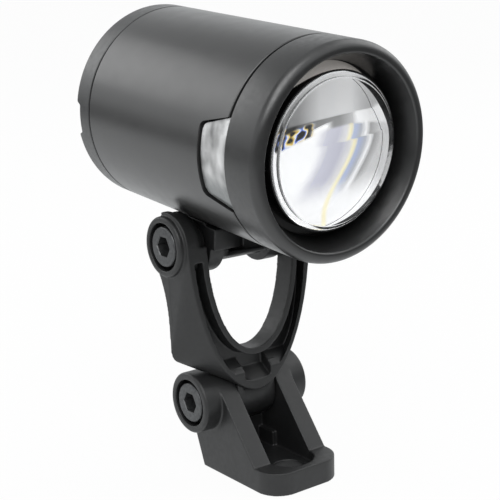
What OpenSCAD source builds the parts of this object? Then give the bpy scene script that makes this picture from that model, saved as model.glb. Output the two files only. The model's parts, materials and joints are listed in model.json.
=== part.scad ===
// Bike headlight on a two-pivot bracket: a foot, a yoke and a tubular lamp.
// The origin is the centre of the foot's screw hole at the underside, +Z is up and the lamp faces -Y.

/* [Foot] */
// Width of the foot between its side faces
foot_w = 19.2; // [16:0.1:24]
// Distance from the screw hole to the front face
foot_front = 7.05; // [6.8:0.05:9]
// Distance from the screw hole to the rear edge of the base
foot_rear = 17.5; // [15:0.5:20]
// Radius of the two front corners, seen from above
foot_corner_r = 5.4; // [3:0.1:6]
// Height of the front lip
lip_h = 4.9; // [4:0.1:6]
// Start of the sloping front edge of the ears, behind the screw hole
slope_y = -0.6; // [-2:0.1:2]
// Radius of the ears about the lower pivot
ear_r = 6.6; // [5.8:0.1:8]
// Half of the width over the two round bosses
boss_half = 13.7; // [12.5:0.1:14.2]
// Width of the trough between the ears
trough_w = 10.5; // [10.2:0.1:12]
// Thickness of the trough's floor
floor_t = 2.8; // [2:0.1:4]
// Height of the two ledges at the rear of the trough
ledge_h = 6.1; // [5:0.1:7]
// Width of each ledge
ledge_w = 1; // [0.5:0.1:1.5]
// Radius of the hole for the mounting screw
mount_hole_r = 3.25; // [2.7:0.05:3.5]

/* [Lower pivot] */
// Distance of the lower pivot behind the screw hole
lower_y = 16.5; // [15:0.5:18]
// Height of the lower pivot above the underside
lower_z = 15.6; // [14.5:0.1:18]

/* [Yoke] */
// Distance between the two pivots
yoke_rise = 34.45; // [33:0.05:42]
// Backward lean of the yoke as it is set
yoke_lean = 3; // [0:0.5:6]
// Depth of the yoke from its front rim to the rear edge of its sides
yoke_depth = 8.3; // [7.5:0.1:10]
// Distance of the front rim ahead of the foot's ears
rim_ahead = 0.6; // [0.5:0.1:1.5]
// Half of the yoke's width at the top of its front rim
rim_half_w = 16.15; // [15.6:0.05:17]
// Half of the yoke's width at its rear edge
rear_half_w = 16.5; // [15.6:0.1:17]
// Thickness of the outer wall
rim_t = 1.6; // [1.2:0.1:2]
// Half of the opening's width at the upper pivot
opening_half_w = 11.25; // [10.8:0.05:11.6]
// Thickness of the ring around the opening
ring_t = 1.4; // [1.2:0.1:2]
// Depth of the ring from front to back
ring_depth = 5.3; // [4.5:0.1:6]
// Thickness of the web at the back of the groove
web_t = 1.8; // [1.2:0.1:2.4]
// Gap on each side of the tongue between the foot's ears
tongue_gap = 0.2; // [0.1:0.05:0.4]
// Radius of the tongue about the lower pivot
tongue_r = 6.2; // [5.5:0.1:6.4]
// Half of the width over the two upper bosses
upper_boss_half = 17.5; // [17.2:0.1:19]

/* [Lamp] */
// Outer diameter of the lamp
body_d = 43; // [41:0.1:52]
// Wall of the housing tube
body_wall = 1.6; // [1.4:0.1:1.8]
// Length of the lamp from its rear face to its rim
lamp_len = 63.3; // [60:0.1:76]
// Length of the rear cap that shows
cap_len = 5.7; // [5:0.1:7]
// Length of the front bezel
bezel_len = 9.2; // [8.5:0.1:11]
// Width of the seam behind the bezel
seam = 0.6; // [0.4:0.1:0.8]
// Nose-down tilt of the lamp as it is set
lamp_pitch = 5.6; // [0:0.1:10]
// Turn of the optic about the lamp's axis as it is set
optic_roll = 5; // [-6:0.5:6]
// Distance of the upper pivot ahead of the rear face, along the lamp
pivot_fwd = 28.4; // [26:0.1:32]
// Distance of the upper pivot below the underside of the lamp
pivot_gap = 3; // [2.8:0.1:5]

/* [Optic] */
// Radius of the lens where it stands in its carrier
lens_r = 15.2; // [14:0.1:15.4]
// Distance of the lens's front edge behind the rim
lens_set = 2; // [1.9:0.1:3.5]
// Height of the crown on the lower half of the lens
lower_crown = 1.8; // [1:0.1:2.6]
// Depth of the hollow in the upper half of the lens
upper_hollow = 5.7; // [3:0.1:7]
// Height of the step between the halves above the lamp's axis
step_up = 2.6; // [0:0.1:4]
// Radius of the opening at the bottom of the bezel's dish
dish_r = 17; // [16.5:0.1:18]
// Depth of the bezel's dish
dish_depth = 5.7; // [5:0.1:6.5]
// Length of a side window along the lamp
window_len = 7.9; // [6:0.1:9]
// Half of a window's height at its rear edge
window_rear = 7.1; // [5:0.1:8]
// Half of a window's height beside the bezel
window_front = 9.4; // [8:0.1:10]

/* [Screws] */
// Diameter of the pivot screws
screw_d = 5; // [4:0.5:6]
// Diameter of a pivot screw's head
head_d = 8.5; // [7:0.5:9]
// Height of a pivot screw's head
head_h = 5; // [4:0.5:5]
// Width of the hex socket across its flats
key_w = 4; // [3:0.5:4]

/* [Hidden] */

$fn = 96;
// Overlap that lets a cut run past a face
cut = 1;
// Thickness of the thin slabs that an outline is blended between
thin = 0.1;
// Gap of a turning fit, of a plain fit, beside the foot's bosses and around its ears
run_gap = 0.05;
fit_gap = 0.1;
side_gap = 0.5;
ear_gap = 0.5;
// Small bevel on screw heads and turned edges
bevel = 0.4;

// Screws and the holes for them
screw_r = screw_d / 2;
screw_hole_r = screw_r + run_gap;
head_r = head_d / 2;
counterbore_r = head_r + 0.8;
counterbore_d = head_h + 0.2;
key_depth = 2.6;
nut_w = 1.6 * screw_d;
nut_h = 4;
nut_depth = nut_h + 0.5;
lower_screw_len = 2 * boss_half - counterbore_d - nut_depth + nut_h;
boss_edge = 0.4;
hex_to_round = 1 / cos(30);

// Foot
foot_h = lower_z + ear_r;
foot_half = foot_w / 2;
trough_half = trough_w / 2;
ledge_y = 10.6;
rear_wall_y = foot_rear - 2;
rear_wall_h = lower_z - tongue_r - side_gap;

// Place of the upper pivot as the yoke is set
upper_y = lower_y + yoke_rise * sin(yoke_lean);
upper_z = lower_z + yoke_rise * cos(yoke_lean);

// Yoke, in its own upright frame about the lower pivot: the space around the ears and the saddle over them
ear_space_r = ear_r + ear_gap;
saddle_r = ear_space_r + 2.2;
tongue_half = trough_half - tongue_gap;
rim_y = -ear_r - rim_ahead;
yoke_rear_y = rim_y + yoke_depth;
ring_rear_y = rim_y + ring_depth;
web_y = ring_rear_y - web_t;
// Half of the pocket at the bottom of the groove, between the covers of the ears
pocket_half = tongue_half - rim_t;
// Round top of the arms about the upper pivot, and the top of the groove
arm_r = -rim_y;
arm_top_z = yoke_rise + arm_r;
groove_top_z = yoke_rise - 3.2;
// Shape of the opening and of the rim, which is widest a little above the upper pivot
opening_drop = yoke_rise - saddle_r - ring_t;
opening_power = 2.1;
rim_lift = 2;
rim_base_z = 1.4;
rim_drop = yoke_rise + rim_lift - rim_base_z;
rim_power = 1.9;
arch_steps = 40;
// Lower edge and corners of the yoke's rear outline
rear_base_z = ear_space_r + 1.8;
rear_corner_r = 2.5;
rear_corner_steps = 5;
// Webs behind the upper bosses: reach at the top, bend and length
boss_web_reach = 5.9;
boss_web_drop = 2.5;
boss_web_bend = 8.5;
boss_web_len = 17;
upper_boss_r = 6.4;
// Barrel inside each arm
barrel_r = 5;
barrel_end = opening_half_w - 1.05;

// Lamp
body_r = body_d / 2;
bore_r = body_r - body_wall;
tube_rear = cap_len + 0.4;
bezel_rear = lamp_len - bezel_len;
tube_front = bezel_rear - seam;
edge_r = 1.9;
edge_steps = 8;

// Gap between the arms' tops and the lamp that turns over them, and the steps of their outline
lamp_gap = 0.35;
arm_top_steps = 12;

// Pivot block under the lamp
pivot_drop = body_r + pivot_gap;
collar_r = 6.6;
collar_out = barrel_end - 0.2;
collar_in = collar_out - 3.8;
crossbar_r = 4.9;
pedestal_half = 8;
rib_half = 4;
rib_web_half = 2.6;
rib_reach = 17.5;
rib_root = 4;
rib_root_drop = 3.3;
rib_flange_t = 1.3;
rib_tip = 1;
insert_r = screw_r + 0.9;
insert_len = 5.4;
insert_end = collar_out - 0.2;
// Upper screws, which end just short of the inner ends of their inserts
upper_screw_len = upper_boss_half - counterbore_d - insert_end + insert_len - fit_gap;
block_screw_r = 1.25;
block_head_r = 2.3;
block_head_h = 1.6;
block_screw_len = 5.5;
block_head_gap = 0.2;
block_key_w = 2;
block_key_deep = 1;
block_screw_at = [-6, 5.4];

// Rear cap
cap_face = 3;
spigot_len = 5;
spigot_r = bore_r - fit_gap;
spigot_wall = 3;
cap_edge = 1.4;
cap_notch_deep = 2.2;
cap_notch_half = 3;
cap_notch_in = 1.8;
ring_wire = 0.9;
cap_ring_at = cap_len + 2.6;
cap_screw_x = 12;
cap_screw_r = 1.5;
cap_screw_len = 9;
cap_head_r = 2.75;
cap_head_h = 1.8;
cap_key_w = 2.5;
cap_key_deep = 1.2;
grommet_up = -11;
grommet_r = 3.2;
grommet_flange_r = 4.4;
grommet_flange_t = 1.2;
cable_r = 2.1;

// Optic
lens_front = lamp_len - lens_set;
lens_back = lens_front - 10.4;
carrier_back = tube_front - 13.5;
carrier_front = lamp_len - dish_depth - 1.1;
carrier_flange_r = body_r - 0.7;
carrier_nose_r = bore_r - 1;
lens_ledge = 1;
lens_rim = 0.4;
carrier_ring_at = carrier_back + 2.6;
ear_len = 2.3;
ear_root = 1;
ear_half = 2.3;
ear_t = 1.6;
ear_up = step_up - 0.8;
window_gap = 0.45;
window_t = 2.2;
window_face_r = body_r - 0.6;
window_corner = 1.2;
window_pocket = lens_r + 1.1;
dish_rim_r = body_r - edge_r - 0.5;
reflector_back = carrier_back - 9;
reflector_front = lens_back - 1.2;
reflector_t = 1;
reflector_hole_r = 4.6;
reflector_rings = 12;
mirror_r = bore_r - 3.6;

// Electronics
led_board_front = reflector_back - 0.3;
led_board_t = 1.6;
led_board_r = 9;
led_side = 3.4;
led_t = 0.9;
led_dome_r = 1.3;
sink_front = led_board_front - led_board_t;
sink_t = 5;
sink_rear = sink_front - sink_t;
post_r = 3.4;
post_tip_r = 2.6;
driver_front = sink_rear - 5;
driver_t = 1.2;
driver_rear = driver_front - driver_t;
driver_r = 16.5;
lead_x = 4.5;
lead_r = 0.6;
capacitor_r = 3.6;
capacitor_len = 6.4;
capacitor_up = 8;
choke_r = 3.6;
choke_hole_r = 1.5;
choke_h = 3.2;
choke_up = 0;
terminal = [8, 3, 4.2];
terminal_up = -8;

// Point where the line from p touches the circle of radius r about c
function tangent_point(p, c, r, side) =
    let (v = p - c, around = atan2(v[1], v[0]) + side * acos(r / norm(v)))
    c + r * [cos(around), sin(around)];

// Lower half of a rounded arch, half_w wide and drop deep below a height
function arch(half_w, drop, power, from) =
    [for (i = [0 : arch_steps])
        let (t = 180 + 180 * i / arch_steps)
        [half_w * sign(cos(t)) * pow(abs(cos(t)), 2 / power),
         from - drop * pow(abs(sin(t)), 2 / power)]];

// The same arch with straight sides up to a height
function arch_outline(half_w, drop, power, from, top) =
    concat([[-half_w, top]], arch(half_w, drop, power, from), [[half_w, top]]);

// Room between the upper pivot and the lamp's underside, at a distance from the middle
function lamp_room(x) = pivot_drop - sqrt(body_r * body_r - x * x) - lamp_gap;

// Extrudes an outline in Y and Z along X
module along_x(width) {
    rotate([90, 0, 90]) linear_extrude(width, center = true) children();
}

// Extrudes an outline in X and Z from one Y to another
module along_y(from, to) {
    translate([0, to, 0]) rotate([90, 0, 0]) linear_extrude(to - from) children();
}

// Rod along X from one place to another
module rod_x(r, from, to) {
    translate([from, 0, 0]) rotate([0, 90, 0]) cylinder(r = r, h = to - from);
}

// Round boss along +X with a bevelled end
module boss_x(r, from, to) {
    rod_x(r, from, to - boss_edge);
    translate([to - boss_edge, 0, 0]) rotate([0, 90, 0]) cylinder(r1 = r, r2 = r - boss_edge, h = boss_edge);
}

module both_sides() {
    children();
    mirror([1, 0, 0]) children();
}

module at_lower_pivot() {
    translate([0, lower_y, lower_z]) children();
}

module at_upper_pivot() {
    translate([0, upper_y, upper_z]) children();
}

// The yoke's own frame: its origin is the lower pivot and the upper pivot lies on Z
module on_yoke() {
    at_lower_pivot() rotate([-yoke_lean, 0, 0]) children();
}

module at_yoke_top() {
    translate([0, 0, yoke_rise]) children();
}

// The lamp's own frame: Z runs forward from the rear face along its axis, Y is up
module on_lamp() {
    at_upper_pivot() rotate([90 + lamp_pitch, 0, 0]) translate([0, pivot_drop, -pivot_fwd]) children();
}

// The lamp's frame turned with the optic
module on_optic() {
    on_lamp() rotate([0, 0, optic_roll]) children();
}

// Disc or tube about the lamp's axis
module turned(r, from, to, hole = 0) {
    translate([0, 0, from]) difference() {
        cylinder(r = r, h = to - from);
        if (hole > 0) translate([0, 0, -cut]) cylinder(r = hole, h = to - from + 2 * cut);
    }
}

// Cap screw with a hex socket: the shank runs down from the origin, the head stands above it
module socket_screw(r, len, head, height, key, deep) {
    difference() {
        union() {
            translate([0, 0, -len]) cylinder(r = r, h = len + thin);
            cylinder(r = head, h = height - bevel);
            translate([0, 0, height - bevel]) cylinder(r1 = head, r2 = head - bevel, h = bevel);
        }
        translate([0, 0, height - deep]) cylinder(r = key / 2 * hex_to_round, h = deep + cut, $fn = 6);
    }
}

// O-ring about the lamp's axis
module o_ring(r, at) {
    translate([0, 0, at]) rotate_extrude() translate([r, 0]) circle(r = ring_wire, $fn = 32);
}

// Groove for an O-ring, cut into a spigot of radius r
module o_groove(r, at) {
    translate([0, 0, at]) difference() {
        cylinder(r = r + cut, h = 2 * ring_wire + fit_gap, center = true);
        cylinder(r = r - 2 * ring_wire, h = 4 * ring_wire, center = true);
    }
}

// Foot: side outline, plan and trough
module foot_profile() {
    pivot = [lower_y, lower_z];
    polygon([[-foot_front, 0], [foot_rear, 0],
             tangent_point([foot_rear, 0], pivot, ear_r, 1),
             tangent_point([slope_y, lip_h], pivot, ear_r, -1),
             [slope_y, lip_h], [-foot_front, lip_h]]);
    translate(pivot) circle(r = ear_r);
}

module foot_plan() {
    reach = foot_front + lower_y + 2 * ear_r;
    translate([-foot_half, foot_corner_r - foot_front]) square([foot_w, reach]);
    translate([foot_corner_r - foot_half, -foot_front]) square([foot_w - 2 * foot_corner_r, reach]);
    for (side = [-1, 1])
        translate([side * (foot_half - foot_corner_r), foot_corner_r - foot_front]) circle(r = foot_corner_r);
}

module trough() {
    translate([0, 0, floor_t]) cylinder(r = trough_half, h = foot_h);
    translate([-trough_half, 0, floor_t]) cube([trough_w, ledge_y, foot_h]);
    translate([-trough_half, 0, ledge_h]) cube([trough_w, rear_wall_y, foot_h]);
    translate([-trough_half, 0, rear_wall_h]) cube([trough_w, 2 * foot_rear, foot_h]);
    translate([ledge_w - trough_half, 0, floor_t])
        cube([trough_w - 2 * ledge_w, rear_wall_y, foot_h]);
}

module foot_bracket() {
    color("dimgray") difference() {
        union() {
            intersection() {
                along_x(foot_w) foot_profile();
                linear_extrude(foot_h + cut) foot_plan();
            }
            at_lower_pivot() both_sides() boss_x(ear_r, trough_half, boss_half);
        }
        trough();
        translate([0, 0, -cut]) cylinder(r = mount_hole_r, h = floor_t + 2 * cut);
        at_lower_pivot() {
            rod_x(screw_hole_r, -boss_half - cut, boss_half + cut);
            rod_x(counterbore_r, -boss_half - cut, counterbore_d - boss_half);
            translate([boss_half - nut_depth, 0, 0]) rotate([0, 90, 0])
                cylinder(r = (nut_w / 2 + fit_gap) * hex_to_round, h = nut_depth + cut, $fn = 6);
        }
    }
}

module lower_screw() {
    color("slategray") at_lower_pivot() translate([counterbore_d - boss_half, 0, 0]) rotate([0, -90, 0])
        socket_screw(screw_r, lower_screw_len, head_r, head_h, key_w, key_depth);
}

module lower_nut() {
    color("slategray") at_lower_pivot() translate([boss_half - nut_depth, 0, 0]) rotate([0, 90, 0])
        difference() {
            cylinder(r = nut_w / 2 * hex_to_round, h = nut_h, $fn = 6);
            translate([0, 0, -cut]) cylinder(r = screw_r + run_gap, h = nut_h + 2 * cut);
        }
}

// Yoke: outlines, blended body and cuts
module rim_outline(inset, top) {
    polygon(arch_outline(rim_half_w - inset, rim_drop - inset, rim_power, yoke_rise + rim_lift, top));
}

module rear_outline(inset, top) {
    centre = [rear_half_w - rear_corner_r, rear_base_z + rear_corner_r];
    reach = rear_corner_r - inset;
    corner = [for (i = [0 : rear_corner_steps])
        let (turn = 90 * i / rear_corner_steps - 90)
        centre + reach * [cos(turn), sin(turn)]];
    half = concat(corner, [[rear_half_w - inset, top]]);
    other = [for (i = [len(half) - 1 : -1 : 0]) [-half[i][0], half[i][1]]];
    polygon(concat(half, other));
}

// Body between the front rim and the rear edge, or its inside when it is inset and runs past both
module yoke_blend(inset, past) {
    hull() {
        along_y(rim_y - past, rim_y - past + thin) rim_outline(inset, arm_top_z + past);
        along_y(yoke_rear_y + past - thin, yoke_rear_y + past) rear_outline(inset, arm_top_z + past);
    }
}

module opening_prism(grow, from, to) {
    along_y(from, to)
        polygon(arch_outline(opening_half_w + grow, opening_drop + grow, opening_power, yoke_rise,
                             arm_top_z + cut));
}

// What stays solid inside the yoke's outer wall: ring, web, arm tops and the saddle over the ears
module yoke_core() {
    width = 2 * rear_half_w;
    opening_prism(ring_t, rim_y, ring_rear_y);
    translate([-rear_half_w, web_y, 0]) cube([width, web_t, arm_top_z]);
    translate([-rear_half_w, rim_y, groove_top_z])
        cube([width, ring_rear_y - rim_y, arm_top_z - groove_top_z]);
    difference() {
        rod_x(saddle_r, -rear_half_w, rear_half_w);
        translate([-pocket_half, rim_y - cut, 0]) cube([2 * pocket_half, web_y - rim_y + cut, arm_top_z]);
    }
}

// Space that the arms may fill: below the upper pivot, and above it only what clears the round lamp
module arm_space() {
    reach = upper_boss_half + cut;
    step = (reach - barrel_end) / arm_top_steps;
    top = [for (i = [0 : arm_top_steps])
        let (x = barrel_end + i * step)
        [min(arm_r, lamp_room(x)), x]];
    translate([-reach, -reach, -reach]) cube([2 * reach, 2 * reach, yoke_rise + reach]);
    at_yoke_top() both_sides() rotate([0, 90, 0]) rotate_extrude()
        polygon(concat([[0, barrel_end]], top, [[0, reach]]));
}

module yoke_shell() {
    difference() {
        yoke_blend(0, 0);
        difference() {
            yoke_blend(rim_t, cut);
            yoke_core();
        }
    }
}

module tongue() {
    rod_x(tongue_r, -tongue_half, tongue_half);
    translate([-tongue_half, web_y, 0]) cube([2 * tongue_half, tongue_r - web_y, ear_space_r]);
    both_sides() translate([pocket_half, -tongue_r, 0])
        cube([tongue_half - pocket_half, tongue_r, ear_space_r]);
}

// Webs that run from each upper boss into the rear edge of its arm
module boss_web() {
    from = [boss_web_reach, yoke_rise - boss_web_drop];
    bend = [yoke_rear_y, yoke_rise - boss_web_bend];
    to = [yoke_rear_y, yoke_rise - boss_web_len];
    curve = [for (i = [0 : arch_steps / 4])
        let (t = i / (arch_steps / 4))
        (1 - t) * (1 - t) * from + 2 * t * (1 - t) * bend + t * t * to];
    both_sides() translate([rear_half_w - rim_t / 2, 0, 0]) along_x(rim_t)
        polygon(concat(curve, [[0, to[1]], [0, yoke_rise]]));
}

module yoke_bracket() {
    color("dimgray") on_yoke() difference() {
        intersection() {
            union() {
                yoke_shell();
                tongue();
                boss_web();
                at_yoke_top() both_sides() {
                    boss_x(upper_boss_r, opening_half_w, upper_boss_half);
                    rod_x(barrel_r, barrel_end, opening_half_w);
                }
            }
            arm_space();
        }
        difference() {
            opening_prism(0, rim_y - cut, ring_rear_y + thin);
            at_yoke_top() both_sides() rod_x(barrel_r, barrel_end, opening_half_w);
        }
        both_sides() rod_x(ear_space_r, tongue_half, boss_half + side_gap);
        rod_x(screw_hole_r, -boss_half, boss_half);
        at_yoke_top() both_sides() {
            rod_x(screw_hole_r, 0, upper_boss_half + cut);
            rod_x(counterbore_r, upper_boss_half - counterbore_d, upper_boss_half + cut);
        }
    }
}

// Pivot block under the lamp, drawn about the upper pivot in the lamp's frame
module at_block() {
    on_lamp() translate([0, -pivot_drop, pivot_fwd]) children();
}

// Extrudes an outline, forward and up in the lamp's frame, along X
module lamp_plate(width) {
    rotate([0, -90, 0]) linear_extrude(width, center = true) children();
}

// Rib under the front of the block: its web reaches the lamp, its flange is wider and thins to the tip
module rib_outline() {
    top = pivot_gap + body_wall;
    polygon([[0, top], [0, -rib_root_drop], [rib_root, -rib_root_drop],
             [rib_reach, pivot_gap - rib_tip], [rib_reach, top]]);
}

module rib_flange() {
    low = -rib_root_drop;
    tip = pivot_gap - rib_tip;
    polygon([[0, low], [rib_root, low], [rib_reach, tip], [rib_reach, tip + rib_flange_t / 2],
             [rib_root, low + rib_flange_t], [0, low + rib_flange_t]]);
}

// Places of the screws that hold the block, with each head on the inside of the tube
module block_screw_places() {
    for (ahead = block_screw_at)
        on_lamp() translate([0, block_head_gap - bore_r, pivot_fwd + ahead]) rotate([-90, 0, 0]) children();
}

module pivot_block() {
    color("dimgray") difference() {
        at_block() {
            rod_x(crossbar_r, -collar_out, collar_out);
            both_sides() rod_x(collar_r, collar_in, collar_out);
            translate([-collar_out, 0, -pedestal_half])
                cube([2 * collar_out, pivot_gap + body_wall, 2 * pedestal_half]);
            lamp_plate(2 * rib_web_half) rib_outline();
            lamp_plate(2 * rib_half) rib_flange();
        }
        on_lamp() turned(body_r + run_gap, 0, lamp_len);
        at_block() both_sides() rod_x(insert_r + run_gap, insert_end - insert_len, collar_out + cut);
        block_screw_places()
            translate([0, 0, -block_screw_len - fit_gap])
                cylinder(r = block_screw_r + run_gap, h = block_screw_len);
    }
}

module insert_at(side) {
    color("goldenrod") at_block() mirror([side < 0 ? 1 : 0, 0, 0]) difference() {
        rod_x(insert_r, insert_end - insert_len, insert_end);
        rod_x(screw_r + run_gap, 0, insert_end + cut);
    }
}

module insert_left() {
    insert_at(-1);
}

module insert_right() {
    insert_at(1);
}

module upper_screw_at(side) {
    color("slategray") at_upper_pivot() mirror([side < 0 ? 1 : 0, 0, 0])
        translate([upper_boss_half - counterbore_d, 0, 0]) rotate([0, 90, 0])
            socket_screw(screw_r, upper_screw_len, head_r, head_h, key_w, key_depth);
}

module upper_screw_left() {
    upper_screw_at(-1);
}

module upper_screw_right() {
    upper_screw_at(1);
}

module block_screws() {
    color("silver") block_screw_places()
        socket_screw(block_screw_r, block_screw_len, block_head_r, block_head_h, block_key_w, block_key_deep);
}

// Side windows: the outline runs forward and up, with its rear corners taken off
module window_outline(inset) {
    back = tube_front - window_len + inset;
    rear = window_rear - inset;
    front = window_front - inset;
    near = window_corner;
    half = [[back, rear - near], [back + near, rear], [tube_front + cut, front]];
    other = [for (i = [len(half) - 1 : -1 : 0]) [half[i][0], -half[i][1]]];
    polygon(concat(half, other));
}

// Prism through one side of the lamp, from a distance inside to past the outside
module window_prism(side, inset, from) {
    reach = body_r + cut - from;
    translate([side * (from + reach / 2), 0, 0]) lamp_plate(reach) window_outline(inset);
}

module housing_tube() {
    color([0.16, 0.16, 0.17]) difference() {
        on_lamp() turned(body_r, tube_rear, tube_front, bore_r);
        on_optic() for (side = [-1, 1]) window_prism(side, 0, bore_r / 2);
        block_screw_places() cylinder(r = block_screw_r + fit_gap, h = 4 * body_wall, center = true);
    }
}

// Disc about the lamp's axis whose edge is rounded at one end
module rounded_disc(r, edge, from, to) {
    turned(r, from + edge, to);
    turned(r - edge, from, to);
    translate([0, 0, from + edge]) rotate_extrude() translate([r - edge, 0]) circle(r = edge, $fn = 48);
}

module cap_notch(side) {
    slope = cap_notch_half + cap_notch_deep / 2;
    reach = cap_notch_in + cut;
    translate([side * (body_r - cap_notch_in + reach / 2), 0, 0]) lamp_plate(reach)
        polygon([[-cut, slope], [0, slope], [cap_notch_deep, cap_notch_half],
                 [cap_notch_deep, -cap_notch_half], [0, -slope], [-cut, -slope]]);
}

module cap_screw_places() {
    on_optic() for (side = [-1, 1])
        translate([side * cap_screw_x, 0, cap_head_h + fit_gap]) rotate([180, 0, 0]) children();
}

module rear_cap() {
    hollow_r = spigot_r - spigot_wall;
    color([0.13, 0.13, 0.14]) difference() {
        on_optic() difference() {
            union() {
                rounded_disc(body_r, cap_edge, 0, cap_len);
                turned(spigot_r, cap_len, cap_len + spigot_len);
            }
            turned(hollow_r, cap_face, cap_len + spigot_len + cut);
            o_groove(spigot_r, cap_ring_at);
            for (side = [-1, 1]) cap_notch(side);
            translate([0, grommet_up, 0]) {
                turned(grommet_r + fit_gap, -cut, cap_len);
                turned(grommet_flange_r + fit_gap, -cut, grommet_flange_t + fit_gap);
            }
        }
        cap_screw_places() {
            cylinder(r = cap_screw_r + fit_gap, h = 2 * cap_len, center = true);
            cylinder(r = cap_head_r + fit_gap, h = cap_len);
        }
    }
}

module cap_seal() {
    color("black") on_optic() o_ring(spigot_r - ring_wire, cap_ring_at);
}

module cap_screws() {
    color("gray") cap_screw_places()
        socket_screw(cap_screw_r, cap_screw_len, cap_head_r, cap_head_h, cap_key_w, cap_key_deep);
}

module cable_grommet() {
    back = cap_face + run_gap;
    color("black") on_optic() translate([0, grommet_up, 0]) difference() {
        union() {
            turned(grommet_flange_r, 0, grommet_flange_t);
            turned(grommet_r, 0, back + grommet_flange_t);
            turned(grommet_flange_r, back, back + grommet_flange_t);
        }
        turned(cable_r, -cut, back + grommet_flange_t + cut);
    }
}

// Section of the bezel: wall, rounded rim, dish and the lip over the carrier's nose
module bezel_section() {
    nose_r = carrier_nose_r + fit_gap;
    lip_back = carrier_front + run_gap;
    rim = [for (turn = [0 : 90 / edge_steps : 90])
        [body_r - edge_r * (1 - cos(turn)), lamp_len - edge_r * (1 - sin(turn))]];
    polygon(concat([[nose_r, bezel_rear], [body_r, bezel_rear]], rim,
                   [[dish_rim_r, lamp_len], [dish_r, lamp_len - dish_depth],
                    [dish_r, lip_back], [nose_r, lip_back]]));
}

module front_bezel() {
    color([0.15, 0.16, 0.17]) on_optic() rotate_extrude() bezel_section();
}

// Black ring that joins the tube, the bezel and the lens
module lens_carrier() {
    color([0.06, 0.06, 0.06]) on_optic() difference() {
        union() {
            turned(bore_r - fit_gap, carrier_back, tube_front);
            turned(carrier_flange_r, tube_front, bezel_rear);
            turned(carrier_nose_r, bezel_rear, carrier_front);
        }
        turned(mirror_r + fit_gap, carrier_back - cut, reflector_front + run_gap);
        turned(lens_r - lens_ledge, carrier_back, lens_back + cut);
        turned(lens_r + fit_gap, lens_back - run_gap, carrier_front + cut);
        o_groove(bore_r - fit_gap, carrier_ring_at);
        for (side = [-1, 1])
            difference() {
                window_prism(side, window_gap - fit_gap, window_pocket);
                turned(body_r, tube_front, lamp_len);
            }
    }
}

module carrier_seal() {
    color("black") on_optic() o_ring(bore_r - fit_gap - ring_wire, carrier_ring_at);
}

// Radius of the ball that a cap of a given mouth and height is cut from
function ball_r(mouth, height) = (mouth * mouth + height * height) / (2 * height);

// Rod of the lens with a hollow front
module hollow_rod() {
    r = ball_r(lens_r - lens_rim, upper_hollow);
    difference() {
        turned(lens_r, lens_back, lens_front);
        translate([0, 0, lens_front - upper_hollow + r]) sphere(r = r);
    }
}

// Rod of the lens with a crowned front
module crowned_rod() {
    r = ball_r(lens_r, lower_crown);
    intersection() {
        turned(lens_r, lens_back, lens_front + lower_crown);
        translate([0, 0, lens_front + lower_crown - r]) sphere(r = r);
    }
}

// Lens whose upper half is hollow and whose lower half is crowned, with two ears
module projector_lens() {
    span = 2 * lens_r + cut;
    color([0.8, 0.86, 0.9, 0.5]) on_optic() {
        hollow_rod();
        intersection() {
            crowned_rod();
            translate([-span / 2, step_up - span, lens_back]) cube([span, span, span]);
        }
        intersection() {
            turned(dish_r - 2 * fit_gap, carrier_front + run_gap, carrier_front + run_gap + ear_t);
            for (side = [-1, 1])
                translate([side * (lens_r + ear_len / 2 - ear_root / 2), ear_up, carrier_front + ear_t / 2])
                    cube([ear_len + ear_root, 2 * ear_half, 2 * ear_t], center = true);
        }
    }
}

module side_window(side) {
    color([0.85, 0.88, 0.9, 0.6]) on_optic() intersection() {
        turned(window_face_r, 0, tube_front - run_gap, window_face_r - window_t);
        window_prism(side, window_gap, bore_r / 2);
    }
}

module side_window_left() {
    side_window(-1);
}

module side_window_right() {
    side_window(1);
}

// Bowl whose radius grows with the root of the distance from its back
module reflector() {
    length = reflector_front - reflector_back;
    spread = mirror_r - reflector_t - reflector_hole_r;
    wall = [for (i = [0 : reflector_rings])
        let (part = i / reflector_rings)
        [reflector_hole_r + spread * sqrt(part), reflector_back + length * part]];
    outside = [for (i = [reflector_rings : -1 : 0]) wall[i] + [reflector_t, 0]];
    color("gainsboro") on_optic() rotate_extrude() polygon(concat(wall, outside));
}

module lead_places() {
    on_optic() for (side = [-1, 1]) translate([side * lead_x, 0, 0]) children();
}

module led_board() {
    color("whitesmoke") difference() {
        on_optic() turned(led_board_r, sink_front, led_board_front);
        lead_places() turned(lead_r + fit_gap, sink_front - cut, led_board_front + cut);
    }
}

module led_emitter() {
    color("khaki") on_optic() {
        translate([0, 0, led_board_front + led_t / 2]) cube([led_side, led_side, led_t], center = true);
        translate([0, 0, led_board_front + led_t]) intersection() {
            sphere(r = led_dome_r);
            cylinder(r = led_side, h = led_dome_r);
        }
    }
}

module heat_sink() {
    color("silver") difference() {
        on_optic() {
            turned(bore_r - fit_gap, sink_rear, sink_front);
            for (side = [-1, 1]) translate([side * cap_screw_x, 0, 0]) {
                turned(post_r, driver_front, sink_rear + cut);
                turned(post_tip_r, cap_face, sink_rear);
            }
        }
        cap_screw_places() translate([0, 0, -cap_screw_len - cut])
            cylinder(r = cap_screw_r + run_gap, h = cap_screw_len + cut);
        lead_places() turned(lead_r + fit_gap, sink_rear - cut, sink_front + cut);
        block_screw_places()
            cylinder(r = block_head_r + side_gap, h = 2 * (block_head_h + side_gap), center = true);
    }
}

module led_leads() {
    color("firebrick") lead_places() turned(lead_r, driver_front, led_board_front);
}

module driver_board() {
    color("darkgreen") on_optic() difference() {
        turned(driver_r, driver_rear, driver_front);
        for (side = [-1, 1]) translate([side * cap_screw_x, 0, 0])
            turned(post_tip_r + fit_gap, driver_rear - cut, driver_front + cut);
    }
}

module store_capacitor() {
    color("midnightblue") on_optic() translate([0, capacitor_up, 0])
        turned(capacitor_r, driver_rear - capacitor_len, driver_rear);
}

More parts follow.
